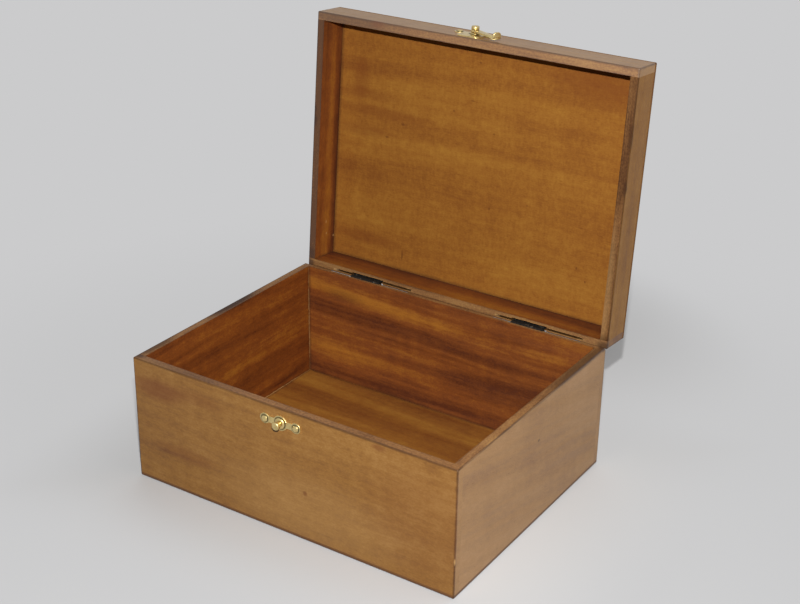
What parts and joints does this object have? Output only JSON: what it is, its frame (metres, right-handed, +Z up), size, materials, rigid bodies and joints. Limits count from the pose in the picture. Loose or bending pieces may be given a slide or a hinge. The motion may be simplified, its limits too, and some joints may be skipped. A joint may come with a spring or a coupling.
{
  "type": "hinged wooden box",
  "caption": "Plain stained wooden box with a hinged lid that stands open and a small brass swing-hook clasp on its front, for keeping or collecting small things.",
  "frame": {"origin": "middle of the box's flat underside, on the surface it stands on", "axes": "+X to the box's right seen from its clasp side, +Y to the hinge side, +Z up"},
  "size_m": [0.3, 0.2898, 0.3427],
  "materials": {
    "board_wood": "brown stain under thin satin varnish",
    "panel_wood": "brown stain under thin satin varnish",
    "hinge_metal": "dark oiled steel",
    "brass": "bright brass plating"
  },
  "bodies": {
    "box": {"front_wall": "board_wood", "back_wall": "board_wood", "left_wall": "board_wood", "right_wall": "board_wood", "base_panel": "panel_wood", "left_hinge_box_leaf": "hinge_metal", "left_hinge_pin": "hinge_metal", "right_hinge_box_leaf": "hinge_metal", "right_hinge_pin": "hinge_metal", "catch_plate": "brass", "catch_stud": "brass", "catch_nails": "brass"},
    "lid": {"lid_front_rail": "board_wood", "lid_back_rail": "board_wood", "lid_left_rail": "board_wood", "lid_right_rail": "board_wood", "lid_panel": "panel_wood", "left_hinge_lid_leaf": "hinge_metal", "right_hinge_lid_leaf": "hinge_metal", "hook_plate": "brass", "hook_plate_nails": "brass", "hook_spacer": "brass", "hook_rivet": "brass"},
    "hook": {"clasp_hook": "brass"}
  },
  "joints": [
    {"name": "lid_swing", "type": "hinge", "parent": "box", "child": "lid", "pos_m": [0, 0.1143, 0.1056], "axis": [1, 0, 0], "range_deg": [0, 94.7]},
    {"name": "hook_swing", "type": "hinge", "parent": "lid", "child": "hook", "pos_m": [-0.0038, 0.15193, 0.33258], "axis": [0, -0.0819, -0.9966], "range_deg": [-119, 61]}
  ]
}
